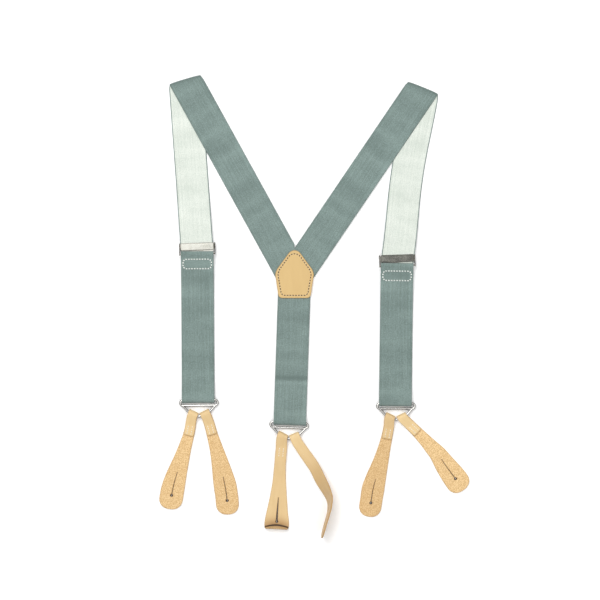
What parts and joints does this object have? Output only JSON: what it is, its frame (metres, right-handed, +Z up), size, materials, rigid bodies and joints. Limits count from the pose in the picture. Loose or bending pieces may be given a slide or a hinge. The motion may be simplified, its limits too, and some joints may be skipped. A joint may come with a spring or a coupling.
{
  "type": "suspenders",
  "caption": "Y-back button suspenders laid flat: sage elastic webbing, leather yoke patch and buttonhole tabs, wire rings and lever adjusters.",
  "frame": {"origin": "middle of the underside, on the surface that the suspenders lie on", "axes": "+Z up from that surface, +Y from the leather tabs towards the shoulder folds, +X to the right"},
  "size_m": [0.3294, 0.4974, 0.026],
  "materials": {
    "webbing": "sage grey-green ribbed elastic webbing with a pale inner side",
    "webbing_thread": "pale sewing thread",
    "leather_thread": "off-white sewing thread",
    "tab_leather": "natural vegetable-tanned leather, smooth grain one side and rough flesh the other",
    "yoke_leather": "natural vegetable-tanned leather, smooth grain",
    "nickel_wire": "polished nickel plate",
    "nickel_plate": "polished nickel plate"
  },
  "bodies": {
    "yoke": {"yoke_patch_front": "yoke_leather", "yoke_patch_backing": "yoke_leather", "yoke_patch_stitching": "leather_thread", "back_strap": "webbing", "back_strap_stitching": "webbing_thread", "shoulder_strap_left": "webbing", "shoulder_strap_right": "webbing", "shoulder_fold_left": "webbing", "shoulder_fold_right": "webbing"},
    "front_left": {"front_strap_left": "webbing"},
    "adjuster_left": {"adjuster_frame_left": "nickel_plate", "adjuster_pin_left": "nickel_plate", "sewn_end_left": "webbing", "box_stitching_left": "webbing_thread"},
    "lever_left": {"adjuster_lever_left": "nickel_plate"},
    "strap_end_left": {"passing_strap_left": "webbing", "return_strap_left": "webbing", "ring_turn_left": "webbing"},
    "front_right": {"front_strap_right": "webbing"},
    "adjuster_right": {"adjuster_frame_right": "nickel_plate", "adjuster_pin_right": "nickel_plate", "sewn_end_right": "webbing", "box_stitching_right": "webbing_thread"},
    "lever_right": {"adjuster_lever_right": "nickel_plate"},
    "strap_end_right": {"passing_strap_right": "webbing", "return_strap_right": "webbing", "ring_turn_right": "webbing"},
    "ring_left": {"ring_left": "nickel_wire"},
    "ring_right": {"ring_right": "nickel_wire"},
    "ring_back": {"ring_back": "nickel_wire"},
    "tab_left_outer": {"tab_left_outer": "tab_leather", "tab_stitching_left_outer": "leather_thread"},
    "tab_left_inner": {"tab_left_inner": "tab_leather", "tab_stitching_left_inner": "leather_thread"},
    "tab_right_inner": {"tab_right_inner": "tab_leather", "tab_stitching_right_inner": "leather_thread"},
    "tab_right_outer": {"tab_right_outer": "tab_leather", "tab_stitching_right_outer": "leather_thread"},
    "tab_back_left": {"tab_back_left": "tab_leather", "tab_stitching_back_left": "leather_thread"},
    "tab_back_right": {"tab_back_right": "tab_leather", "tab_stitching_back_right": "leather_thread"}
  },
  "joints": [
    {"name": "shoulder_unfold_left", "type": "hinge", "parent": "yoke", "child": "front_left", "pos_m": [-0.1384, 0.2442, 0.00125], "axis": [0.9588, 0.284, 0], "range_deg": [0, 170], "deforming": ["shoulder_fold_left"]},
    {"name": "adjuster_slide_left", "type": "slide", "parent": "front_left", "child": "adjuster_left", "axis": [-0.0728, 0.9973, 0], "range_m": [-0.12, 0.08], "deforming": ["front_strap_left"]},
    {"name": "lever_open_left", "type": "hinge", "parent": "adjuster_left", "child": "lever_left", "pos_m": [-0.12536, 0.0664, 0.00195], "axis": [0.9993, 0.0366, 0], "range_deg": [0, 100]},
    {"name": "strap_end_travel_left", "type": "slide", "parent": "adjuster_left", "child": "strap_end_left", "axis": [0.0061, -1, 0], "range_m": [-0.0605, 0.0405], "deforming": ["passing_strap_left", "return_strap_left"]},
    {"name": "shoulder_unfold_right", "type": "hinge", "parent": "yoke", "child": "front_right", "pos_m": [0.1169, 0.2354, 0.00125], "axis": [0.9272, -0.3746, 0], "range_deg": [0, 170], "deforming": ["shoulder_fold_right"]},
    {"name": "adjuster_slide_right", "type": "slide", "parent": "front_right", "child": "adjuster_right", "axis": [0.1494, 0.9888, 0], "range_m": [-0.12, 0.08], "deforming": ["front_strap_right"]},
    {"name": "lever_open_right", "type": "hinge", "parent": "adjuster_right", "child": "lever_right", "pos_m": [0.08914, 0.0537, 0.00195], "axis": [0.9994, 0.0349, 0], "range_deg": [0, 100]},
    {"name": "strap_end_travel_right", "type": "slide", "parent": "adjuster_right", "child": "strap_end_right", "axis": [-0.0122, -0.9999, 0], "range_m": [-0.0605, 0.0405], "deforming": ["passing_strap_right", "return_strap_right"]},
    {"name": "ring_swing_left", "type": "hinge", "parent": "strap_end_left", "child": "ring_left", "pos_m": [-0.1236, -0.1, 0.0032], "axis": [-0.9998, -0.0175, 0], "range_deg": [-80, 80]},
    {"name": "ring_swing_right", "type": "hinge", "parent": "strap_end_right", "child": "ring_right", "pos_m": [0.0879, -0.1035, 0.0032], "axis": [-1, -0.0052, 0], "range_deg": [-80, 80]},
    {"name": "ring_swing_back", "type": "hinge", "parent": "yoke", "child": "ring_back", "pos_m": [-0.0266, -0.1239, 0.0032], "axis": [-0.999, 0.0454, 0], "range_deg": [-80, 80]},
    {"name": "tab_swing_left_outer", "type": "hinge", "parent": "ring_left", "child": "tab_left_outer", "pos_m": [-0.12984, -0.11453, 0.0032], "axis": [-0.9106, 0.4132, 0], "range_deg": [-80, 80]},
    {"name": "tab_swing_left_inner", "type": "hinge", "parent": "ring_left", "child": "tab_left_inner", "pos_m": [-0.11685, -0.1143, 0.0032], "axis": [-0.8957, -0.4448, 0], "range_deg": [-55, 55]},
    {"name": "tab_swing_right_inner", "type": "hinge", "parent": "ring_right", "child": "tab_right_inner", "pos_m": [0.08148, -0.11795, 0.0032], "axis": [-0.9055, 0.4243, 0], "range_deg": [-55, 55]},
    {"name": "tab_swing_right_outer", "type": "hinge", "parent": "ring_right", "child": "tab_right_outer", "pos_m": [0.09447, -0.11788, 0.0032], "axis": [-0.901, -0.4338, 0], "range_deg": [-80, 80]},
    {"name": "tab_swing_back_left", "type": "hinge", "parent": "ring_back", "child": "tab_back_left", "pos_m": [-0.03374, -0.138, 0.0032], "axis": [-0.8829, 0.4696, 0], "range_deg": [-75, 75]},
    {"name": "tab_swing_back_right", "type": "hinge", "parent": "ring_back", "child": "tab_back_right", "pos_m": [-0.02076, -0.13859, 0.0032], "axis": [-0.9218, -0.3876, 0], "range_deg": [-40, 40]}
  ],
  "couplings": [
    {"joint": "strap_end_travel_left", "follows": "adjuster_slide_left", "ratio": 0.5},
    {"joint": "strap_end_travel_right", "follows": "adjuster_slide_right", "ratio": 0.5}
  ]
}
